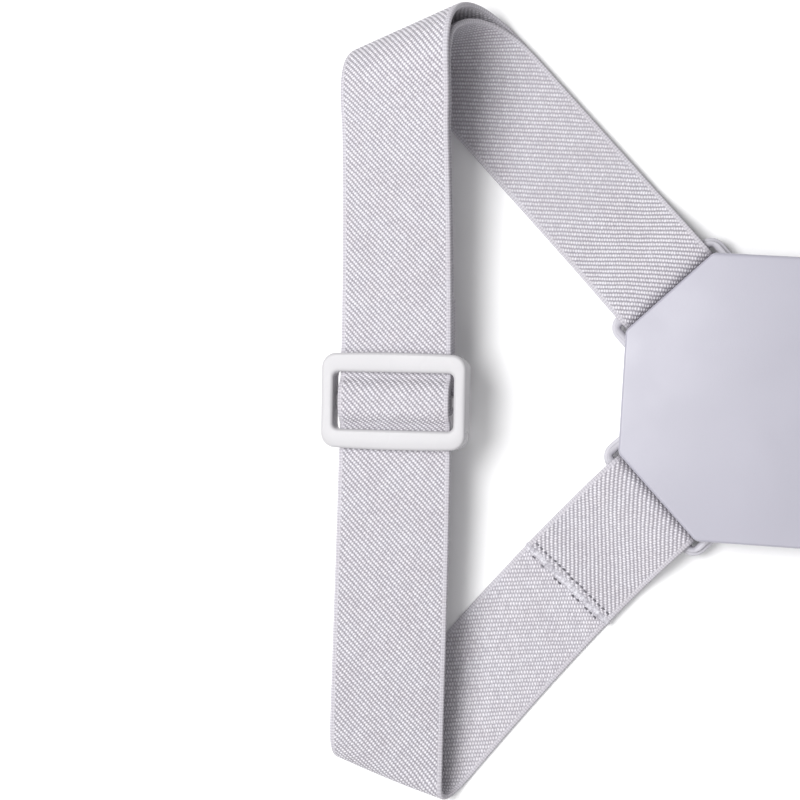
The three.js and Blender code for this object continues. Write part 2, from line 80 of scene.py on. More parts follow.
# How the left loop lies.
BOTTOM_FRONT_HEADING = 90.5
TOP_FRONT_HEADING = 93.5
LOWER_HEADING = 233.5
LOWER_BEARING = 230.6
LOWER_RUN = 102.5
UPPER_RUN = 85.2
BOTTOM_BEND_RADIUS = 5.5
TOP_BEND_RADIUS = 14.0
TOP_DRIFT = 2.3
INNER_BEND_SLACK = 0.8
INNER_SETBACK = 1.8
INNER_DRIFT = 6.7
DRIFT_SHARE = 0.7
BOTTOM_LEAN = -8.0
TOP_LEAN = 17.0
TAIL_LENGTH = 35.0
SEWN_LENGTH = 28.0
LUG_RAMP = 20.0

# The slider.
SLIDER_RISE = 94.4
SLIDER_HEIGHT = 25.8
SLIDER_BAR_HEIGHT = 5.0
SLIDER_THICKNESS = 2.4
SLIDER_RADIUS = 3.9
RAIL_WIDTH = 3.4
WINDOW_SIDE = 1.3
WINDOW_RADIUS = 1.6
CENTRE_BAR_HEIGHT = 4.0
CENTRE_BAR_THICKNESS = 2.2
RAIL_DROP = 0.5
WEAVE_FOOT_RADIUS = 3.5
WEAVE_CREST_RADIUS = 5.0
SLIDER_BOW = 0.5
SLIDER_EDGE_ROUND = 0.9

# Sizes worked out from these.
LAYER_PITCH = WEB_THICKNESS + CLEARANCE
FLAT_RISE = WEB_THICKNESS / 2
RAISED = FLAT_RISE + LAYER_PITCH
SLOT_WIDTH = SLOT_PLAY + WEB_THICKNESS + CLEARANCE
SLOT_LENGTH = WEB_WIDTH + 2 * SLOT_SIDE
LUG_REACH = SLOT_WIDTH + BAR_WIDTH
LUG_LENGTH = SLOT_LENGTH + 2 * EAR_WALL
LUG_BOTTOM = UNDER_LUG + WEB_THICKNESS + CLEARANCE
LUG_TOP = LUG_BOTTOM + LUG_THICKNESS
COVER_BOTTOM = BASE_DEPTH + CLEARANCE
HOUSING_DEPTH = COVER_BOTTOM + COVER_DEPTH
OVER_BAR = LUG_TOP + CLEARANCE + WEB_THICKNESS / 2
UNDER_BAR = LUG_BOTTOM - CLEARANCE - WEB_THICKNESS / 2
RAMP_END = LUG_REACH + LUG_RAMP
SLIDER_UNDER = WEB_THICKNESS / 2 + CLEARANCE
SLIDER_TOP = SLIDER_UNDER + SLIDER_THICKNESS
FRONT_CREST = SLIDER_TOP - WEB_THICKNESS / 2
LOOP_CREST = FRONT_CREST - LAYER_PITCH
CENTRE_BAR_TOP = LOOP_CREST - WEB_THICKNESS / 2 - CLEARANCE
CENTRE_BAR_BOTTOM = CENTRE_BAR_TOP - CENTRE_BAR_THICKNESS
RAIL_BOTTOM = CENTRE_BAR_BOTTOM - RAIL_DROP
WINDOW_HALF = SLIDER_HEIGHT / 2 - SLIDER_BAR_HEIGHT
WINDOW_WIDTH = WEB_WIDTH + 2 * WINDOW_SIDE
SLIDER_WIDTH = WINDOW_WIDTH + 2 * RAIL_WIDTH
SLIDER_EDGE = SLIDER_HEIGHT / 2 + CLEARANCE

# The webbing's weave: the pitch of its ribs, of the knots along them, and its selvedge.
RIB_PITCH = 1.13
FACE_KNOT_PITCH = 0.74
BACK_KNOT_PITCH = 0.79
SELVEDGE = 1.35
SELVEDGE_PITCH = 0.8
EDGE_ROUND = 0.7

# How much the ribs and the knots stand out on each face, and the share of a pitch by which
# the knots of one rib lie further along than those of its neighbour.
FACE_RIBS, FACE_KNOTS, FACE_STAGGER = 0.74, 0.78, 0.47
BACK_RIBS, BACK_KNOTS, BACK_STAGGER = 0.44, 0.8, 0.5

# Beyond this distance from the sewn tail, a little way past the upper lug, the ribs are
# fainter and darker: painted shading for how the light falls on this stretch, not a change
# in the cloth. These values were chosen for the tone there, and measure nothing of
# the cloth.
PAINTED_SHADE_FROM = 490.0
PAINTED_SHADE_OVER = 20.0
PAINTED_SHADE_SHARE = 0.55
PAINTED_SHADE_LEVEL = 0.3

# How finely the meshes are divided.
ROW_SPACING = 1.2
COLUMN_SPACING = 1.5
EDGE_COLUMNS = 5
ARC_STEPS = 10
BEND_STEPS = 90
CORNER_STEPS = 10
ROUND_STEPS = 5
NEARBY = 1e-3

UPWARD = np.array((0.0, 0.0, 1.0))
Frame = namedtuple("Frame", "point along across up")
Spine = namedtuple("Spine", "at length")
Step = namedtuple("Step", "run rise pitch shift", defaults=(0.0, 0.0))
Bend = namedtuple("Bend", "rows entry exit")
rng = np.random.default_rng(SEED)


# Meshes

def mesh_object(name, points, faces, material, sharp=40.0, attributes=None):
    """An object from points in millimetres, smooth except where faces meet sharply."""
    mesh = bpy.data.meshes.new(name)
    mesh.from_pydata((np.asarray(points) * MM).tolist(), [], faces)
    mesh.validate()
    for label, values in (attributes or {}).items():
        layer = mesh.attributes.new(label, "FLOAT_VECTOR", "POINT")
        layer.data.foreach_set("vector", np.asarray(values, np.float32).ravel())
    mesh.shade_smooth()
    mesh.set_sharp_from_angle(angle=math.radians(sharp))
    mesh.materials.append(material)
    piece = bpy.data.objects.new(name, mesh)
    bpy.context.scene.collection.objects.link(piece)
    return piece


def ring_faces(levels, count):
    """Quads between rings of points that follow one another."""
    faces = []
    for level in range(levels - 1):
        low, high = level * count, (level + 1) * count
        for side in range(count):
            following = (side + 1) % count
            faces.append((low + side, low + following, high + following, high + side))
    return faces


def capped_faces(levels, count):
    """Quads between rings of points, and a face over the first ring and the last."""
    last = (levels - 1) * count
    ends = [tuple(range(count))[::-1], tuple(range(last, last + count))]
    return ring_faces(levels, count) + ends


def mirrored(points, faces):
    """The same body on the other side of the housing."""
    return points * (-1, 1, 1), [tuple(reversed(face)) for face in faces]


def ride_root(piece, slot, *nodes):
    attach(piece, "root")
    if nodes:
        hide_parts(*nodes)
    return piece


def joined(name, bodies, material, sharp=40.0):
    """One object from several closed bodies that pass into one another, united."""
    pieces = [mesh_object(f"{name}_part_{at}", points, faces, material, sharp)
              for at, (points, faces) in enumerate(bodies)]
    first = pieces[0]
    for other in pieces[1:]:
        union = first.modifiers.new("union", "BOOLEAN")
        union.operation = "UNION"
        union.solver = "EXACT"
        union.object = other
    bpy.context.view_layer.update()
    evaluated = first.evaluated_get(bpy.context.evaluated_depsgraph_get())
    mesh = bpy.data.meshes.new_from_object(evaluated)
    first.modifiers.clear()
    for other in pieces[1:]:
        bpy.data.objects.remove(other)
    first.data = mesh
    first.name = name
    mesh.name = name
    mesh.shade_smooth()
    mesh.set_sharp_from_angle(angle=math.radians(sharp))
    return first


# Frames and spines

def unit(vector):
    return vector / np.linalg.norm(vector, axis=-1, keepdims=True)


def frame_from(point, along, up):
    return Frame(point, along, unit(np.cross(up, along)), up)


def offset(at, along, across, up):
    return at.point + at.along * along + at.across * across + at.up * up


def spine_between(start, end):
    """A smooth line from one frame to another."""
    third = np.linalg.norm(end.point - start.point) / 3
    corners = [start.point, offset(start, third, 0, 0), offset(end, -third, 0, 0), end.point]

    def point(share):
        rest = 1 - share
        weights = (rest ** 3, 3 * rest * rest * share, 3 * rest * share ** 2, share ** 3)
        return sum(weight * corner for weight, corner in zip(weights, corners))

    places = np.array([point(share) for share in np.linspace(0, 1, 201)])
    length = np.linalg.norm(np.diff(places, axis=0), axis=1).sum()

    def at(distance):
        share = distance / length
        along = unit(point(share + NEARBY) - point(share - NEARBY))
        up = start.up + (end.up - start.up) * share
        return frame_from(point(share), along, unit(up - along * (up @ along)))

    return Spine(at, length)


def line_through(middle):
    return Spine(lambda distance: middle._replace(point=offset(middle, distance, 0, 0)), 0)


# Columns across the webbing, closer together at its rounded edges.
edge_share = EDGE_ROUND / WEB_WIDTH
edge_columns = edge_share * (1 - np.cos(np.linspace(0, math.pi / 2, EDGE_COLUMNS + 1)))
middle_count = round((WEB_WIDTH - 2 * EDGE_ROUND) / COLUMN_SPACING)
middle_columns = np.linspace(edge_share, 1 - edge_share, middle_count + 1)[1:-1]
COLUMNS = np.concatenate([edge_columns, middle_columns, 1 - edge_columns[::-1]])


def rows_along(spine, profile, face):
    """Rows along a spine, each the middle points and the good face's normals."""
    rows = []
    for run, rise, pitch, shift in profile:
        at = spine.at(run)
        normal = face * (at.up * math.cos(pitch) - at.along * math.sin(pitch))
        sideways = face * WEB_WIDTH * (COLUMNS - 0.5) + shift
        points = at.point + at.up * rise + np.outer(sideways, at.across)
        rows.append((points, np.tile(normal, (len(COLUMNS), 1))))
    return rows


def bend(start, skew, radius, turn, flare, drift, face):
    """Rows over a round bend whose axis lies askew to the webbing."""
    cos_skew, sin_skew, hand = math.cos(skew), abs(math.sin(skew)), math.copysign(1, skew)
    axis = start.along * cos_skew + start.across * hand * sin_skew
    ahead = start.along * sin_skew - start.across * hand * cos_skew
    beyond = ahead * math.cos(turn) + start.up * math.sin(turn)
    crest = radius * turn / 2 * cos_skew / sin_skew

    def place(run, across):
        along_axis = run * cos_skew + across * hand * sin_skew
        forward = run * sin_skew - across * hand * cos_skew
        angle = np.clip(forward / radius, 0, turn)
        slid = along_axis + drift * smooth(np.clip(angle / (DRIFT_SHARE * turn), 0, 1))
        local = radius + flare * (slid - crest)
        return (start.point + np.outer(slid, axis)
                + np.outer(np.minimum(forward, 0) + radius * np.sin(angle), ahead)
                + np.outer(local * (1 - np.cos(angle)), start.up)
                + np.outer(np.maximum(forward - radius * turn, 0), beyond))

    def directions(run, across):
        along = unit(place(run + NEARBY, across) - place(run - NEARBY, across))
        aside = place(run, across + NEARBY) - place(run, across - NEARBY)
        return along, unit(np.cross(along, aside))

    def frame_at(run):
        run, middle = np.array([run]), np.zeros(1)
        along, up = directions(run, middle)
        return frame_from(place(run, middle)[0], along[0], up[0])

    margin = WEB_WIDTH / 2 * cos_skew / sin_skew
    length = radius * turn / sin_skew + 2 * margin
    sideways = face * WEB_WIDTH * (COLUMNS - 0.5)
    rows = []
    for run in np.linspace(-margin, length - margin, BEND_STEPS + 1):
        runs = np.full(len(COLUMNS), run)
        rows.append((place(runs, sideways), face * directions(runs, sideways)[1]))
    return Bend(rows, frame_at(-margin), frame_at(length - margin))


def turned_back(rows):
    return [(points[::-1], normals[::-1]) for points, normals in reversed(rows)]


# Profiles: the steps that the webbing takes along a spine

def arc(run, rise, radius, pitch, turn, steps=ARC_STEPS):
    """An arc about a centre, travelled square to the radius."""
    reach = math.copysign(radius, turn)
    travels = pitch + turn * np.linspace(0, 1, steps + 1)
    return [Step(run + reach * math.sin(travel), rise - reach * math.cos(travel), travel)
            for travel in travels]


def smooth(share):
    return share * share * (3 - 2 * share)


def ramp(from_run, from_rise, to_run, to_rise, steps=24):
    base = math.pi if to_run < from_run else 0
    profile = []
    for share in np.linspace(0, 1, steps + 1):
        slope = 6 * share * (1 - share) * (to_rise - from_rise) / (to_run - from_run)
        run = from_run + (to_run - from_run) * share
        rise = from_rise + (to_rise - from_rise) * smooth(share)
        profile.append(Step(run, rise, base + math.atan(slope)))
    return profile


def straight(from_run, to_run, rise, pitch):
    steps = max(2, math.ceil(abs(to_run - from_run) / ROW_SPACING))
    return [Step(run, rise, pitch) for run in np.linspace(from_run, to_run, steps + 1)]


def round_bar():
    """Round a lug's bar, from above the bar to below it."""
    radius = BAR_ROUND + CLEARANCE + WEB_THICKNESS / 2
    run = SLOT_WIDTH + BAR_ROUND
    quarter = math.pi / 2
    return [*arc(run, LUG_TOP - BAR_ROUND, radius, math.pi, quarter),
            *arc(run, LUG_BOTTOM + BAR_ROUND, radius, math.pi + quarter, quarter)]


def backwards(profile):
    return [at._replace(pitch=at.pitch + math.pi) for at in reversed(profile)]


def weave():
    """Under the slider's lower bar, up over the centre bar and down under the upper bar."""
    reach = WEAVE_FOOT_RADIUS + WEAVE_CREST_RADIUS
    angle = math.acos(1 - FRONT_CREST / reach)
    foot = WINDOW_HALF - CLEARANCE
    crest = foot - reach * math.sin(angle)
    below = FRONT_CREST - WEAVE_CREST_RADIUS
    climb = [*arc(-foot, WEAVE_FOOT_RADIUS, WEAVE_FOOT_RADIUS, 0, angle),
             *arc(-crest, below, WEAVE_CREST_RADIUS, angle, -angle)[1:]]
    return climb, [Step(-run, rise, -pitch) for run, rise, pitch, _ in reversed(climb)]


# The loop

def corner_middle(heading):
    """The middle of a cut corner of the housing."""
    half = (HOUSING_WIDTH + HOUSING_HEIGHT) / 4 - CORNER_CUT / 2
    lean = (HOUSING_WIDTH - HOUSING_HEIGHT) / 4
    angle = math.radians(heading)
    side_x, side_y = math.copysign(1, math.cos(angle)), math.copysign(1, math.sin(angle))
    return np.array((side_x * (half + lean), side_y * (half - lean), 0.0))


def heading_frame(point, heading):
    angle = math.radians(heading)
    return frame_from(point, np.array((math.cos(angle), math.sin(angle), 0.0)), UPWARD)


def flare_for(lean):
    return math.tan(math.radians(lean)) / 2


def lay_loop():
    """Where everything of the left loop lies."""
    lower = heading_frame(corner_middle(LOWER_CORNER), LOWER_CORNER)
    upper = heading_frame(corner_middle(UPPER_CORNER), UPPER_CORNER)
    bearing = heading_frame(lower.point, LOWER_BEARING)
    bottom_start = heading_frame(offset(bearing, LOWER_RUN, 0, FLAT_RISE), LOWER_HEADING)
    top_start = heading_frame(offset(upper, UPPER_RUN, 0, FLAT_RISE), UPPER_CORNER)
    climb = 2 * (TOP_BEND_RADIUS - BOTTOM_BEND_RADIUS)
    slope = math.atan(climb / np.linalg.norm(top_start.point - bottom_start.point))
    bottom_skew = math.radians((BOTTOM_FRONT_HEADING - LOWER_HEADING) / 2)
    top_skew = math.radians((TOP_FRONT_HEADING + 180 - UPPER_CORNER) / 2)
    bottom = bend(bottom_start, bottom_skew, BOTTOM_BEND_RADIUS, math.pi - slope,
                  flare_for(-BOTTOM_LEAN), 0.0, -1)
    top_turn, top_flare = math.pi + slope, flare_for(-TOP_LEAN)
    top = bend(top_start, top_skew, TOP_BEND_RADIUS, top_turn, top_flare, TOP_DRIFT, -1)
    inner_point = offset(top_start, -INNER_SETBACK, 0, LAYER_PITCH)
    inner_radius = TOP_BEND_RADIUS - LAYER_PITCH - INNER_BEND_SLACK
    inner = bend(heading_frame(inner_point, UPPER_CORNER), top_skew, inner_radius, top_turn,
                 top_flare, INNER_DRIFT, 1)
    start = frame_from(bottom.exit.point, bottom.exit.along, -bottom.exit.up)
    end = frame_from(top.exit.point, -top.exit.along, -top.exit.up)
    front = spine_between(start, end)

    def on_table(at):
        return frame_from(at.point * (1, 1, 0), at.along, UPWARD)

    return {
        "bottom": bottom, "top": top, "inner": inner, "front": front,
        "lower": spine_between(lower, on_table(bottom.entry)),
        "upper": spine_between(upper, on_table(top.entry)),
        "inner_end": np.linalg.norm((inner.entry.point - upper.point)[:2]),
        "slider": front.at(SLIDER_RISE),
    }


def lower_rows(spine):
    return rows_along(spine, [
        Step(TAIL_LENGTH, RAISED, math.pi),
        *straight(TAIL_LENGTH, RAMP_END, RAISED, math.pi)[1:-1],
        *ramp(RAMP_END, RAISED, LUG_REACH, OVER_BAR),
        *round_bar(),
        *ramp(LUG_REACH, UNDER_BAR, RAMP_END, FLAT_RISE),
        *straight(RAMP_END, spine.length, FLAT_RISE, 0)[1:-1],
    ], -1)


def upper_rows(spine, inner_end):
    return rows_along(spine, [
        *straight(spine.length, RAMP_END, FLAT_RISE, math.pi)[1:-1],
        *ramp(RAMP_END, FLAT_RISE, LUG_REACH, UNDER_BAR),
        *backwards(round_bar()),
        *ramp(LUG_REACH, OVER_BAR, RAMP_END, RAISED),
        *straight(RAMP_END, inner_end, RAISED, 0)[1:-1],
    ], 1)


def front_rows(front, slider):
    climb, descent = weave()
    woven = [Step(-SLIDER_EDGE, 0), *climb, *descent, Step(SLIDER_EDGE, 0)]
    above = SLIDER_RISE + SLIDER_EDGE
    return [*rows_along(front, straight(0, SLIDER_RISE - SLIDER_EDGE, 0, 0)[1:-1], 1),
            *rows_along(line_through(slider), woven, 1),
            *rows_along(front, straight(above, front.length, 0, 0)[1:-1], 1)]


def loop_rows(front, slider, inner):
    """From the inner bend down to the slider's centre bar, round it and back up."""
    end = front.at(front.length)
    away = inner.exit.point - end.point
    start_run = front.length + away @ end.along
    settle = SLIDER_RISE + SEWN_LENGTH
    approach = ramp(start_run, away @ end.up, settle, -LAYER_PITCH, BEND_STEPS)[1:]
    shifted = []
    for at in approach:
        share = np.clip((at.run - settle) / (start_run - settle), 0, 1)
        shifted.append(at._replace(shift=(away @ end.across) * smooth(share)))
    under = [Step(run + LAYER_PITCH * math.sin(pitch), rise - LAYER_PITCH * math.cos(pitch), pitch)
             for run, rise, pitch, _ in weave()[1]]
    turn_run = (CENTRE_BAR_THICKNESS - CENTRE_BAR_HEIGHT) / 2
    turn_rise = (CENTRE_BAR_TOP + CENTRE_BAR_BOTTOM) / 2
    turn_radius = CENTRE_BAR_THICKNESS / 2 + CLEARANCE + WEB_THICKNESS / 2
    lowest = -2 * LAYER_PITCH
    woven = [Step(SLIDER_EDGE, -LAYER_PITCH, math.pi),
             *backwards(under),
             *arc(turn_run, turn_rise, turn_radius, math.pi, math.pi),
             *ramp(turn_run, turn_rise - turn_radius, WINDOW_HALF, lowest, ARC_STEPS)[1:],
             Step(SLIDER_EDGE, lowest)]
    above = SLIDER_RISE + SLIDER_EDGE
    return [*rows_along(front, shifted[:-1], 1),
            *rows_along(front, straight(settle, above, -LAYER_PITCH, math.pi)[:-1], 1),
            *rows_along(line_through(slider), woven, 1),
            *rows_along(front, straight(above, settle, lowest, 0)[1:], 1)]


def run_along(middles):
    """How far along the webbing each row lies, by the mean of its two edges."""
    centre = (middles[:, 0] + middles[:, -1]) / 2
    return np.concatenate([[0], np.cumsum(np.linalg.norm(np.diff(centre, axis=0), axis=1))])


def eased_at(middles, joins, reach=14.0, spread=3.5):
    """The rows with the tilt between two stretches eased away near their joins."""
    run = run_along(middles)
    share = np.gradient(run)
    eased = middles.copy()
    for join in joins:
        middle = (run[join - 1] + run[join]) / 2
        for row in np.flatnonzero(np.abs(run - middle) < reach):
            near = share * np.exp(-((run - run[row]) / spread) ** 2 / 2)
            mean = np.tensordot(near / near.sum(), middles, 1)
            amount = smooth(1 - abs(run[row] - middle) / reach)
            eased[row] += (mean - middles[row]) * amount
    return eased


def facing(middles, towards):
    """The good face's normals, from the rows as they lie."""
    ahead = unit(np.diff(middles, axis=0))
    along = np.concatenate([ahead[:1], ahead[1:] + ahead[:-1], ahead[-1:]])
    normals = unit(np.cross(along, np.gradient(middles, axis=1)))
    return normals * np.sign((normals * towards).sum(axis=-1, keepdims=True))


def strap_body(loop):
    """The webbing's points, faces and weave coordinates."""
    stretches = [lower_rows(loop["lower"]), loop["bottom"].rows,
                 front_rows(loop["front"], loop["slider"]), turned_back(loop["top"].rows),
                 upper_rows(loop["upper"], loop["inner_end"]), loop["inner"].rows,
                 loop_rows(loop["front"], loop["slider"], loop["inner"])]
    rows = [row for stretch in stretches for row in stretch]
    joins = np.cumsum([len(stretch) for stretch in stretches])[:-1]
    middles = eased_at(np.array([points for points, _ in rows]), joins)
    normals = facing(middles, np.array([towards for _, towards in rows]))
    run = run_along(middles)
    across = WEB_WIDTH * (COLUMNS - 0.5)
    from_edge = WEB_WIDTH / 2 - np.abs(across)
    rounding = np.clip(1 - from_edge / EDGE_ROUND, 0, 1)
    dip = 0.1 * np.exp(-((from_edge - SELVEDGE) / 0.5) ** 2)
    half = WEB_THICKNESS / 2 * np.sqrt(1 - rounding ** 2) * (1 - dip)
    good = middles + normals * half[:, None]
    back = middles - normals * half[:, None]
    rings = np.concatenate([good, back[:, -2:0:-1]], axis=1)
    count = rings.shape[1]
    side = np.concatenate([np.sign(half), -np.ones(len(COLUMNS) - 2)])
    ring_across = np.concatenate([across, across[-2:0:-1]])
    coordinates = np.empty(rings.shape)
    coordinates[..., 0] = ring_across
    coordinates[..., 1] = run[:, None]
    coordinates[..., 2] = side
    faces = [tuple(reversed(face)) for face in ring_faces(len(rows), count)]
    start = list(range(count))
    finish = [(len(rows) - 1) * count + place for place in range(count)]
    for ring, flip in ((start, False), (finish, True)):
        for column in range(1, len(COLUMNS)):
            a, b = ring[column - 1], ring[column]
            c, d = ring[-column % count], ring[(1 - column) % count]
            if column == len(COLUMNS) - 1:
                face = (a, b, d)
            elif column == 1:
                face = (a, b, c)
            else:
                face = (a, b, c, d)
            faces.append(tuple(reversed(face)) if flip else face)
    middle_line = middles[:, len(COLUMNS) // 2]
    length = np.linalg.norm(np.diff(middle_line, axis=0), axis=1).sum()
    return rings.reshape(-1, 3), faces, coordinates.reshape(-1, 3), length


# The seam over the tail's end, and stitches

def seam_body(spine):
    """A ridge of overcast thread across the tail's end, down to the layer below."""
    width, lumps, steps, around = 2.5, 27, 216, 12
    low, high = FLAT_RISE + WEB_THICKNESS / 2, RAISED + WEB_THICKNESS / 2 + 0.35
    at = spine.at(TAIL_LENGTH + 0.35)
    points = []
    for share in np.linspace(0, 1, steps + 1):
        across = (share - 0.5) * (WEB_WIDTH + 0.5)
        lump = 0.85 + 0.15 * abs(math.sin(math.pi * lumps * share))
        end = math.sqrt(max(1e-4, 1 - (2 * share - 1) ** 30))
        for angle in np.linspace(0, 2 * math.pi, around, endpoint=False):
            run = width / 2 * lump * end * math.cos(angle)
            lean = 0.5 * lump * math.sin(4 * math.pi * lumps * share) * 0.2
            rise = (low + high) / 2 + (high - low) / 2 * lump * end * math.sin(angle)
            points.append(offset(at, run + lean, across, rise))
    return np.array(points), capped_faces(steps + 1, around)


def thread(start, end, radius, lift, up):
    """A short stitch that arches a little between its two needle holes."""
    along = unit(end - start)
    across = np.cross(up, along)
    points, steps, around = [], 6, 6
    for share in np.linspace(0, 1, steps + 1):
        middle = start + (end - start) * share + up * lift * math.sin(math.pi * share)
        thin = radius * (0.35 + 0.65 * math.sin(math.pi * share) ** 0.5)
        for angle in np.linspace(0, 2 * math.pi, around, endpoint=False):
            points.append(middle + thin * (across * math.cos(angle) + up * math.sin(angle)))
    return points, capped_faces(steps + 1, around)


def stitch_line(at, run, rise, pitch, length, radius, skip=0.0):
    """Stitches in a line across the webbing, each a little out of true."""
    bodies, stray, twist = [], 0.08, 0.15
    count = int((WEB_WIDTH - 2) / pitch)
    for place in range(count):
        if rng.random() < skip:
            continue
        across = (place - (count - 1) / 2) * pitch + rng.normal(0, stray)
        where = run + rng.normal(0, stray)
        turn = rng.normal(0, twist)
        reach = np.array((math.sin(turn), math.cos(turn))) * length / 2
        start = offset(at, where - reach[0], across - reach[1], rise)
        end = offset(at, where + reach[0], across + reach[1], rise)
        bodies.append(thread(start, end, radius, radius * 0.8, at.up))
    return merge_bodies(bodies)


def merge_bodies(bodies):
    points, faces = [], []
    for body, sides in bodies:
        faces += [tuple(corner + len(points) for corner in side) for side in sides]
        points += list(body)
    return np.array(points), faces


# The slider

def rounded_corners(half_width, half_height, radius, steps):
    """Points round a rounded rectangle, with the same number for every radius."""
    points = []
    for quarter, (side_x, side_y) in enumerate(((1, 1), (-1, 1), (-1, -1), (1, -1))):
        centre = np.array((side_x * (half_width - radius), side_y * (half_height - radius)))
        for share in np.linspace(0, 1, steps + 1):
            angle = math.pi / 2 * (quarter + share)
            points.append(centre + radius * np.array((math.cos(angle), math.sin(angle))))
    return np.array(points)


def filled(points, spacing):
    """The same closed line with points added along its long sides."""
    every = []
    for at, point in enumerate(points):
        following = points[(at + 1) % len(points)]
        corner = at % (CORNER_STEPS + 1) != CORNER_STEPS
        steps = 1 if corner else spacing
        every += [point + (following - point) * share for share in np.arange(steps) / steps]
    return np.array(every)


def rounded_section(width, bottom, top, top_round, bottom_round):
    """Across a bar, from its inner foot over the top to its outer foot."""
    section = []
    for centre, round_off, start in (
        ((bottom_round, bottom + bottom_round), bottom_round, 1.5),
        ((top_round, top - top_round), top_round, 1.0),
        ((width - top_round, top - top_round), top_round, 0.5),
        ((width - bottom_round, bottom + bottom_round), bottom_round, 0.0),
    ):
        for share in np.linspace(0, 1, ROUND_STEPS + 1):
            angle = math.pi * (start - share / 2)
            section.append((centre[0] + round_off * math.cos(angle),
                            centre[1] + round_off * math.sin(angle)))
    return section


def frame_body():
    """The slider's frame: deep side rails, and shallow bars that the webbing passes under."""
    inner = filled(rounded_corners(WINDOW_WIDTH / 2, WINDOW_HALF, WINDOW_RADIUS, CORNER_STEPS), 14)
    outer = filled(rounded_corners(SLIDER_WIDTH / 2, SLIDER_HEIGHT / 2, SLIDER_RADIUS,
                                   CORNER_STEPS), 14)
    bow = SLIDER_BOW * (1 - (outer[:, 0] / (SLIDER_WIDTH / 2)) ** 2)
    outer[:, 1] += np.sign(outer[:, 1]) * bow * (np.abs(outer[:, 1]) > WINDOW_HALF)
    points = []
    for near, far in zip(inner, outer):
        width = np.linalg.norm(far - near)
        outwards = (far - near) / width
        depth = smooth(np.clip((WINDOW_HALF + 0.6 - abs(near[1])) / 1.6, 0, 1))
        level = SLIDER_UNDER + (RAIL_BOTTOM - SLIDER_UNDER) * depth
        for reach, height in rounded_section(width, level, SLIDER_TOP, SLIDER_EDGE_ROUND, 0.5):
            points.append((*(near + outwards * reach), height))
    count = 4 * (ROUND_STEPS + 1)
    faces = []
    for station in range(len(inner)):
        here, following = station * count, (station + 1) % len(inner) * count
        for place in range(count):
            after = (place + 1) % count
            faces.append((here + place, here + after, following + after, following + place))
    return np.array(points), faces


def centre_bar_body():
    half = CENTRE_BAR_HEIGHT / 2 - CENTRE_BAR_THICKNESS / 2
    middle = (CENTRE_BAR_TOP + CENTRE_BAR_BOTTOM) / 2
    section = []
    for side in (1, -1):
        for share in np.linspace(-0.5, 0.5, 2 * ROUND_STEPS + 1):
            angle = math.pi * share
            section.append((side * (half + CENTRE_BAR_THICKNESS / 2 * math.cos(angle)),
                            middle + side * CENTRE_BAR_THICKNESS / 2 * math.sin(angle)))
    reach = WINDOW_WIDTH / 2 + RAIL_WIDTH / 2
    points = [(x, y, z) for x in (-reach, reach) for y, z in section]
    return np.array(points), capped_faces(2, len(section))


def slider_bodies(at):
    """The slider's bodies where the left loop carries it."""
    basis = np.array((-at.across, at.along, at.up))
    bodies = frame_body(), centre_bar_body()
    return [(points @ basis + at.point, faces) for points, faces in bodies]


# The housing

def housing_outline(inset, steps=CORNER_STEPS):
    """The housing's outline, moved inwards, with rounded corners."""
    corner_round = max(CORNER_RADIUS - inset, CLEARANCE)
    depth = inset + corner_round
    half_width = HOUSING_WIDTH / 2 - depth
    half_height = HOUSING_HEIGHT / 2 - depth
    cut = CORNER_CUT - (2 - math.sqrt(2)) * depth
    quarter = [(half_width, half_height - cut), (half_width - cut, half_height)]
    corners = [*quarter, *[(-x, y) for x, y in reversed(quarter)],
               *[(-x, -y) for x, y in quarter], *[(x, -y) for x, y in reversed(quarter)]]
    points = []
    for corner, (x, y) in enumerate(corners):
        for share in np.linspace(0, 1, steps + 1):
            angle = math.pi / 4 * (corner + share)
            points.append((x + corner_round * math.cos(angle), y + corner_round * math.sin(angle)))
    return np.array(points)


def rounded_levels(inset, height, radius, start, steps=ROUND_STEPS):
    """Insets and heights round an edge; the centre lies inside the wall."""
    levels = []
    for share in np.linspace(0, 1, steps + 1):
        angle = math.radians(start + 90 * share)
        levels.append((inset - radius * math.cos(angle), height + radius * math.sin(angle)))
    return levels


def shell_body(levels):
    """A body with the housing's outline, closed at its first and last levels."""
    rings = [np.column_stack([housing_outline(inset), np.full(8 * (CORNER_STEPS + 1), height)])
             for inset, height in levels]
    return np.concatenate(rings), capped_faces(len(rings), len(rings[0]))


def tray_body():
    foot, rim, inside = EDGE_BEVEL, 0.35, SHELL_WALL
    levels = [*rounded_levels(foot, foot, foot, -90),
              *rounded_levels(rim, BASE_DEPTH - rim, rim, 0),
              (inside, BASE_DEPTH), (inside, SHELL_WALL)]
    return shell_body(levels)


def cover_body():
    lip, bevel, rim = SHELL_WALL + CLEARANCE, EDGE_BEVEL, 0.3
    plate = lip + LIP_WALL
    levels = [(plate, HOUSING_DEPTH - SHELL_WALL), (plate, BASE_DEPTH - LIP_DEPTH),
              (lip, BASE_DEPTH - LIP_DEPTH), (lip, COVER_BOTTOM),
              *rounded_levels(rim, COVER_BOTTOM + rim, rim, -90),
              *rounded_levels(bevel, HOUSING_DEPTH - bevel, bevel, 0)]
    return shell_body(levels)


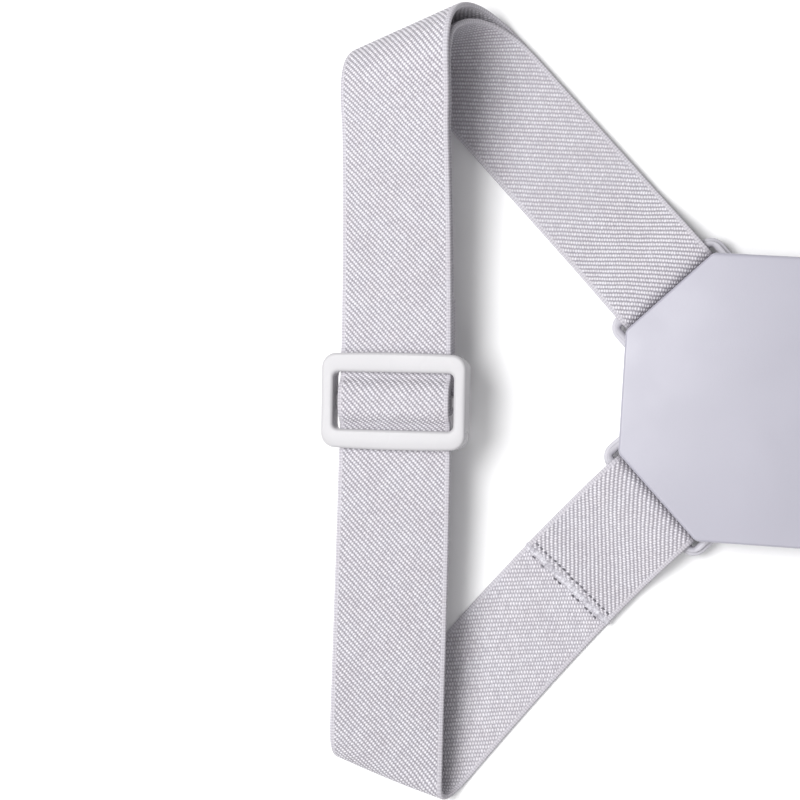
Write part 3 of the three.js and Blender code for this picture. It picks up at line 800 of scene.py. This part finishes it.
def lug_body(heading):
    """An oblong ring behind a cut corner, stepped round its outside."""
    root, stations = -LUG_ROOT, []
    ear, reach = LUG_LENGTH / 2, LUG_REACH
    inner_x, inner_y = SLOT_WIDTH, SLOT_LENGTH / 2
    for side in (-1, 1):
        half = [((root, inner_y), (root, ear))]
        for share in np.linspace(0, 1, CORNER_STEPS + 1):
            angle = math.pi / 2 * (1 - share)
            far = (reach - LUG_RADIUS + LUG_RADIUS * math.cos(angle),
                   ear - LUG_RADIUS + LUG_RADIUS * math.sin(angle))
            near = (inner_x - 0.6 + 0.6 * math.cos(angle), inner_y - 0.6 + 0.6 * math.sin(angle))
            half.append((near, far))
        half = [((near[0], side * near[1]), (far[0], side * far[1])) for near, far in half]
        stations += half if side < 0 else half[::-1]
    points = []
    for near, far in stations:
        near, far = np.array(near), np.array(far)
        width = np.linalg.norm(far - near)
        outwards = (far - near) / width
        nose = min(BAR_ROUND, LUG_THICKNESS / 2)
        section = []
        for centre, start in ((LUG_BOTTOM + nose, 1.5), (LUG_TOP - nose, 1.0)):
            for share in np.linspace(0, 1, ROUND_STEPS + 1):
                angle = math.pi * (start - share / 2)
                section.append((nose + nose * math.cos(angle), centre + nose * math.sin(angle)))
        lower = LUG_TOP - LEDGE_DROP
        section += [(width - LEDGE_WIDTH - 0.2, LUG_TOP), (width - LEDGE_WIDTH, LUG_TOP - 0.2),
                    (width - LEDGE_WIDTH, lower), (width - 0.35, lower),
                    (width - 0.1, lower - 0.1), (width, lower - 0.35),
                    (width, LUG_BOTTOM + 0.35), (width - 0.1, LUG_BOTTOM + 0.1),
                    (width - 0.35, LUG_BOTTOM)]
        points += [(*(near + outwards * across), height) for across, height in section]
    faces = capped_faces(len(stations), len(points) // len(stations))
    angle = math.radians(heading)
    turn = np.array(((math.cos(angle), math.sin(angle), 0), (-math.sin(angle), math.cos(angle), 0),
                     (0, 0, 1)))
    return np.array(points) @ turn + corner_middle(heading), faces


# Materials

class Nodes:
    """Short names for the making of a material's nodes."""

    def __init__(self, name):
        self.material = bpy.data.materials.new(name)
        self.material.use_nodes = True
        self.tree = self.material.node_tree
        self.shader = self.tree.nodes["Principled BSDF"]

    def link(self, value, socket):
        if isinstance(value, bpy.types.NodeSocket):
            self.tree.links.new(value, socket)
        else:
            socket.default_value = value

    def make(self, kind, inputs=(), output=0, **settings):
        node = self.tree.nodes.new(kind)
        for label, value in settings.items():
            setattr(node, label, value)
        for key, value in dict(inputs).items():
            self.link(value, node.inputs[key])
        return node.outputs[output]

    def math(self, operation, first, second=0.0, third=0.0, clamp=False):
        inputs = {0: first, 1: second, 2: third}
        return self.make("ShaderNodeMath", inputs, operation=operation, use_clamp=clamp)

    def noise(self, vector, scale, detail=2.0, roughness=0.5, distortion=0.0):
        inputs = {"Vector": vector, "Scale": scale, "Detail": detail, "Roughness": roughness,
                  "Distortion": distortion}
        return self.make("ShaderNodeTexNoise", inputs)

    def ease(self, value, low, high, to_low=0.0, to_high=1.0):
        inputs = {"Value": value, "From Min": low, "From Max": high, "To Min": to_low,
                  "To Max": to_high}
        return self.make("ShaderNodeMapRange", inputs, interpolation_type="SMOOTHSTEP")

    def mix(self, share, first, second):
        inputs = {"Factor": share, 2: first, 3: second}
        return self.make("ShaderNodeMix", inputs, data_type="FLOAT")

    def mix_colour(self, share, first, second, blend="MIX"):
        node = self.tree.nodes.new("ShaderNodeMix")
        node.data_type = "RGBA"
        node.blend_type = blend
        self.link(share, node.inputs[0])
        self.link(first, node.inputs[6])
        self.link(second, node.inputs[7])
        return node.outputs[2]

    def bump(self, height, distance, strength=1.0, normal=None):
        inputs = {"Height": height, "Distance": distance, "Strength": strength}
        if normal is not None:
            inputs["Normal"] = normal
        return self.make("ShaderNodeBump", inputs)

    def ripple(self, value):
        """A cosine wave of period 1, from 0 to 1."""
        turned = self.math("MULTIPLY", value, 2 * math.pi)
        return self.math("MULTIPLY_ADD", self.math("COSINE", turned), 0.5, 0.5)


def webbing_material():
    """Elastic webbing: twill ribs on its good face, rows of small knots on its back."""
    web = Nodes("webbing")
    place = web.make("ShaderNodeAttribute", attribute_name="web", output=1)
    split = web.tree.nodes.new("ShaderNodeSeparateXYZ")
    web.link(place, split.inputs[0])
    across, run, side = split.outputs

    wander = web.math("MULTIPLY_ADD", web.noise(place, 0.16, 2), 0.36, -0.18)
    fine = web.math("MULTIPLY_ADD", web.noise(place, 1.1, 1), 0.24, -0.12)
    ribs = web.math("MULTIPLY", web.math("SUBTRACT", across, run), 1 / (RIB_PITCH * math.sqrt(2)))
    ribs = web.math("ADD", web.math("ADD", ribs, wander), fine)
    rib = web.ripple(ribs)
    number = web.math("ROUND", ribs)
    along = web.math("MULTIPLY", web.math("ADD", across, run), 1 / math.sqrt(2))

    def knots(pitch, shift):
        """The knots along the ribs, and a value of its own for each of them."""
        stagger = web.math("MULTIPLY", number, shift)
        count = web.math("MULTIPLY_ADD", along, 1 / pitch, stagger)
        loose = web.math("ADD", web.math("MULTIPLY", wander, 1.6), web.math("MULTIPLY", fine, 2.2))
        count = web.math("ADD", count, loose)
        cell = web.make("ShaderNodeCombineXYZ", {0: number, 1: web.math("ROUND", count)})
        own = web.make("ShaderNodeTexWhiteNoise", {"Vector": cell}, noise_dimensions="3D")
        return web.ripple(count), own

    def raised(knot, own, rib_share, knot_share):
        """The weave's height: its ribs, and the knots that they swell into."""
        swell = web.math("MULTIPLY", web.math("SUBTRACT", knot, 0.5),
                         web.math("MULTIPLY_ADD", rib, 0.7, 0.3))
        level = web.math("MULTIPLY_ADD", rib, rib_share, 0.5 - rib_share / 2)
        level = web.math("MULTIPLY_ADD", swell, knot_share, level)
        return web.math("MULTIPLY", level, web.math("MULTIPLY_ADD", own, 0.5, 0.78))

    good = raised(*knots(FACE_KNOT_PITCH, FACE_STAGGER), FACE_RIBS, FACE_KNOTS)
    back = raised(*knots(BACK_KNOT_PITCH, BACK_STAGGER), BACK_RIBS, BACK_KNOTS)
    weave_height = web.mix(web.math("GREATER_THAN", side, 0.0), back, good)
    # Painted shading: further along the webbing the weave's contrast is lowered and its tone
    # darkened, for how the light falls there.
    painted_shade = web.ease(run, PAINTED_SHADE_FROM, PAINTED_SHADE_FROM + PAINTED_SHADE_OVER, 1.0, PAINTED_SHADE_SHARE)
    above = web.math("SUBTRACT", weave_height, PAINTED_SHADE_LEVEL)
    weave_height = web.math("MULTIPLY_ADD", above, painted_shade, PAINTED_SHADE_LEVEL)

    from_edge = web.math("SUBTRACT", WEB_WIDTH / 2, web.math("ABSOLUTE", across))
    body = web.ease(from_edge, SELVEDGE - 0.3, SELVEDGE + 0.15)
    warp = web.ripple(web.math("MULTIPLY", run, 1 / SELVEDGE_PITCH))
    cords = web.ripple(web.math("MULTIPLY", from_edge, 2 / SELVEDGE))
    selvedge_height = web.math("MULTIPLY_ADD", warp, 0.24, 0.42)
    selvedge_height = web.math("MULTIPLY_ADD", cords, -0.16, selvedge_height)
    height = web.mix(body, selvedge_height, weave_height)
    fibres = web.math("ADD", web.noise(place, 5.5, 3, 0.6), web.noise(place, 2.1, 2))
    height = web.math("MULTIPLY_ADD", web.math("SUBTRACT", fibres, 1.0), 0.3, height)

    # Colour follows the weave's height: beside the weave's own pattern, this is painted shade in
    # the grooves and a painted highlight on the ribs and knots.
    dark = (0.237, 0.223, 0.256, 1.0)
    light = (0.76, 0.745, 0.795, 1.0)
    colour = web.mix_colour(height, dark, light)
    patches = web.ease(web.noise(place, 0.11, 3), 0.35, 0.65, 0.0, 0.35)
    colour = web.mix_colour(patches, colour, (0.93, 0.90, 0.90, 1.0), "MULTIPLY")
    warm = web.ease(web.noise(place, 0.6, 2), 0.4, 0.7, 0.0, 0.25)
    colour = web.mix_colour(warm, colour, (1.0, 0.98, 0.95, 1.0), "MULTIPLY")
    web.link(colour, web.shader.inputs["Base Color"])
    web.shader.inputs["Roughness"].default_value = 0.82
    web.shader.inputs["Specular IOR Level"].default_value = 0.3
    web.shader.inputs["Sheen Weight"].default_value = 0.12
    web.shader.inputs["Sheen Roughness"].default_value = 0.45
    web.link(web.bump(height, 0.0003, 0.8), web.shader.inputs["Normal"])
    return web.material


def thread_material(name, dark, light):
    """Sewing thread, twisted and a little fuzzy."""
    sewn = Nodes(name)
    place = sewn.make("ShaderNodeTexCoord", output=3)
    twist = sewn.noise(place, 2600.0, 2, 0.6)
    tufts = sewn.noise(place, 700.0, 2)
    height = sewn.math("ADD", twist, tufts)
    colour = sewn.mix_colour(sewn.ease(height, 0.7, 1.25), dark, light)
    sewn.link(colour, sewn.shader.inputs["Base Color"])
    sewn.shader.inputs["Roughness"].default_value = 0.75
    sewn.shader.inputs["Sheen Weight"].default_value = 0.15
    sewn.link(sewn.bump(height, 0.0002, 0.8), sewn.shader.inputs["Normal"])
    return sewn.material


def plastic_material(name, colour, roughness, grain, specular=0.5, coat=0.0):
    """Moulded plastic with a fine grain, slight flow marks and a handled surface."""
    plastic = Nodes(name)
    place = plastic.make("ShaderNodeTexCoord", output=3)
    flow = plastic.ease(plastic.noise(place, 22.0, 3, 0.5, 0.6), 0.3, 0.7)
    specks = plastic.noise(place, 900.0, 2)
    darker = tuple(channel * 0.955 for channel in colour[:3]) + (1.0,)
    tone = plastic.mix_colour(flow, darker, colour)
    tone = plastic.mix_colour(plastic.ease(specks, 0.62, 0.8, 0.0, 0.18), tone,
                              (0.9, 0.9, 0.92, 1.0), "MULTIPLY")
    plastic.link(tone, plastic.shader.inputs["Base Color"])
    handled = plastic.ease(plastic.noise(place, 60.0, 3), 0.3, 0.7,
                           roughness - 0.04, roughness + 0.05)
    plastic.link(handled, plastic.shader.inputs["Roughness"])
    plastic.shader.inputs["Specular IOR Level"].default_value = specular
    plastic.shader.inputs["Coat Weight"].default_value = coat
    plastic.shader.inputs["Coat Roughness"].default_value = 0.12
    texture = plastic.bump(plastic.noise(place, 2600.0, 2), 0.00004, grain)
    uneven = plastic.bump(plastic.noise(place, 35.0, 1), 0.0008, 0.05, texture)
    plastic.link(uneven, plastic.shader.inputs["Normal"])
    return plastic.material


def floor_material():
    floor = Nodes("floor")
    place = floor.make("ShaderNodeTexCoord", output=3)
    tone = floor.mix_colour(floor.noise(place, 4.0, 2), (0.86, 0.86, 0.865, 1.0),
                            (0.89, 0.89, 0.895, 1.0))
    floor.link(tone, floor.shader.inputs["Base Color"])
    floor.shader.inputs["Roughness"].default_value = 0.9
    floor.shader.inputs["Specular IOR Level"].default_value = 0.1
    return floor.material


# The pieces

def build_housing():
    base_plastic = plastic_material("housing_plastic", (0.42, 0.41, 0.45, 1.0), 0.42, 0.5)
    cover_plastic = plastic_material("cover_plastic", (0.365, 0.357, 0.417, 1.0), 0.36, 0.35)
    lugs = [lug_body(heading) for heading in CORNER_HEADINGS]
    base = joined("base_shell", [tray_body(), *lugs], base_plastic, 35.0)
    ride_root(base, "housing", "housing_base")
    cover = mesh_object("cover_shell", *cover_body(), cover_plastic, 35.0)
    ride_root(cover, "cover", "housing_cover")


def build_loop(side, webbing, gloss, seam_thread, thread_and_hole_shade):
    """One arm loop with its slider, seam and stitches."""
    loop = lay_loop()
    hand = (lambda points, faces: (points, faces)) if side == "left" else mirrored
    points, faces, coordinates, length = strap_body(loop)
    if side == "right":
        coordinates = coordinates * (-1, 1, 1)
    points, faces = hand(points, faces)
    band = mesh_object(f"webbing_{side}", points, faces, webbing, 60.0, {"web": coordinates})
    ride_root(band, "webbing", f"strap_{side}")
    bodies = [hand(*body) for body in slider_bodies(loop["slider"])]
    ride_root(joined(f"buckle_{side}", bodies, gloss, 50.0), "slider", f"slider_{side}")
    seam = mesh_object(f"seam_{side}", *hand(*seam_body(loop["lower"])), seam_thread, 60.0)
    ride_root(seam, "webbing")
    at = loop["lower"].at(TAIL_LENGTH)
    tail_top = RAISED + WEB_THICKNESS / 2 + 0.05
    layer_top = FLAT_RISE + WEB_THICKNESS / 2 + 0.05
    sewn_at = loop["front"].at(SLIDER_RISE + SEWN_LENGTH - 4)
    under = sewn_at._replace(up=-sewn_at.up)
    below = 2 * LAYER_PITCH + WEB_THICKNESS / 2 + 0.05
    bodies = [stitch_line(at, -1.5, tail_top, 1.7, 1.1, 0.28),
              stitch_line(at, 2.1, layer_top, 1.7, 1.1, 0.26, 0.25),
              stitch_line(under, 0, below, 2.2, 1.6, 0.25),
              stitch_line(under, -6, below, 2.2, 1.6, 0.25)]
    stitches = mesh_object(f"stitches_{side}", *hand(*merge_bodies(bodies)), thread_and_hole_shade, 60.0)
    ride_root(stitches, "webbing")


# The stage

CAMERA_AT = Vector((0.0, 0.0, 0.700))
CAMERA_AIM = Vector((-0.1115, -0.006, 0.012))
CAMERA_ROLL = 3.5
VIEW_WIDTH = 0.222
SENSOR = 36.0


def build_camera():
    """From high above, turned a little clockwise, on the left half of the corrector."""
    camera = bpy.data.objects.new("camera", bpy.data.cameras.new("camera"))
    bpy.context.scene.collection.objects.link(camera)
    away = CAMERA_AIM - CAMERA_AT
    forward = away.normalized()
    right = forward.cross(Vector((0, 1, 0))).normalized()
    up = right.cross(forward)
    roll = math.radians(CAMERA_ROLL)
    turned_right = right * math.cos(roll) + up * math.sin(roll)
    turned_up = up * math.cos(roll) - right * math.sin(roll)
    rotation = Matrix((turned_right, turned_up, -forward)).transposed()
    camera.matrix_world = Matrix.Translation(CAMERA_AT) @ rotation.to_4x4()
    camera.data.sensor_width = SENSOR
    camera.data.lens = SENSOR * away.length / VIEW_WIDTH
    bpy.context.scene.camera = camera


def area_light(name, place, aim, size, power):
    lamp = bpy.data.lights.new(name, "AREA")
    lamp.shape = "DISK"
    lamp.size = size
    lamp.energy = power
    light = bpy.data.objects.new(name, lamp)
    light.location = place
    light.rotation_euler = (Vector(aim) - Vector(place)).to_track_quat("-Z", "Y").to_euler()
    bpy.context.scene.collection.objects.link(light)


def build_stage():
    half = 3.0
    corners = [(-half, -half, 0), (half, -half, 0), (half, half, 0), (-half, half, 0)]
    mesh = bpy.data.meshes.new("floor")
    mesh.from_pydata(corners, [], [(0, 1, 2, 3)])
    mesh.materials.append(floor_material())
    floor = bpy.data.objects.new("floor", mesh)
    bpy.context.scene.collection.objects.link(floor)
    world = bpy.data.worlds.new("studio")
    world.use_nodes = True
    world.node_tree.nodes["Background"].inputs["Color"].default_value = (1.0, 1.0, 1.0, 1.0)
    world.node_tree.nodes["Background"].inputs["Strength"].default_value = 0.34
    bpy.context.scene.world = world
    area_light("key", (-0.55, 0.14, 1.1), (-0.08, 0, 0), 0.7, 15.0)
    area_light("fill", (-0.3, -0.6, 1.1), (0, 0, 0), 1.0, 6.0)
    bpy.context.scene.view_settings.view_transform = "Standard"


build_camera()
build_stage()
build_housing()
loop_materials = (
    webbing_material(),
    plastic_material("slider_plastic", (0.475, 0.468, 0.484, 1.0), 0.28, 0.15, 0.15, 0.08),
    thread_material("seam_thread", (0.32, 0.305, 0.345, 1.0), (0.64, 0.63, 0.675, 1.0)),
    # Near-black thread for the stitches: the stitches are real, and their dark colour is painted
    # shade for their shadowed needle holes.
    thread_material("thread_and_hole_shade", (0.06, 0.055, 0.07, 1.0), (0.22, 0.21, 0.24, 1.0)),
)
for side in ("left", "right"):
    build_loop(side, *loop_materials)
